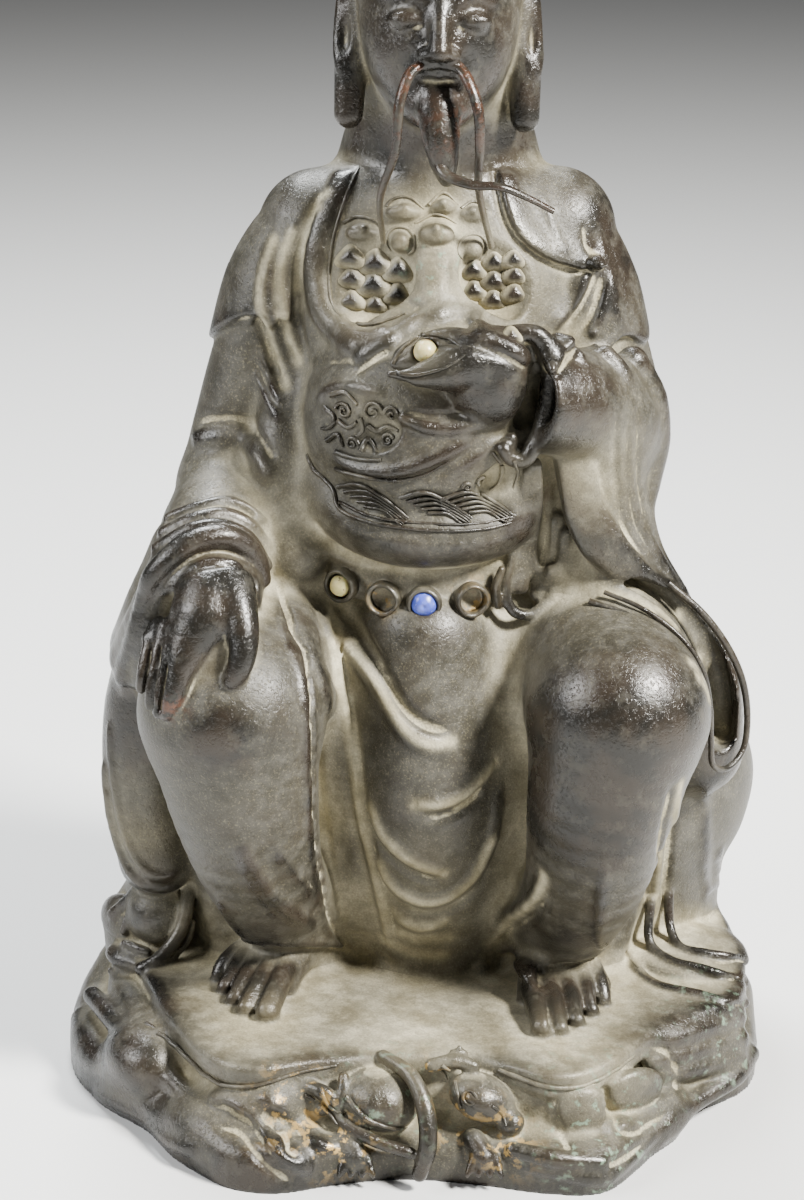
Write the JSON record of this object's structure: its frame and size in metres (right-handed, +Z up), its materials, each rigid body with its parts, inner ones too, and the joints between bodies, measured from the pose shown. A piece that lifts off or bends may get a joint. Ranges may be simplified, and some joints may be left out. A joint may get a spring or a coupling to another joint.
{
  "type": "seated zhenwu figure",
  "caption": "Cast bronze Zhenwu seated on a rock with tortoise and snake, in an open robe over scale armour, with a jewelled belt; stands on its flat underside.",
  "frame": {"origin": "on the flat underside, straight below the middle of the seated body", "axes": "+X towards the viewer's right, which is the figure's left; +Y towards the figure's back, so that it faces -Y; +Z up"},
  "size_m": [0.1011, 0.0946, 0.17],
  "materials": {
    "bronze": "dark brown-black patina on cast bronze, with khaki dust in the recesses and a grey worn sheen on the high points",
    "cream_bead": "polished cream-yellow bead with a dark fleck",
    "blue_bead": "polished periwinkle-blue bead",
    "cream_cabochon": "polished cream cabochon"
  },
  "bodies": {
    "root": {"figure": "bronze", "belt_bead_cream": "cream_bead", "belt_bead_blue": "blue_bead", "belly_cabochon": "cream_cabochon"}
  },
  "joints": []
}
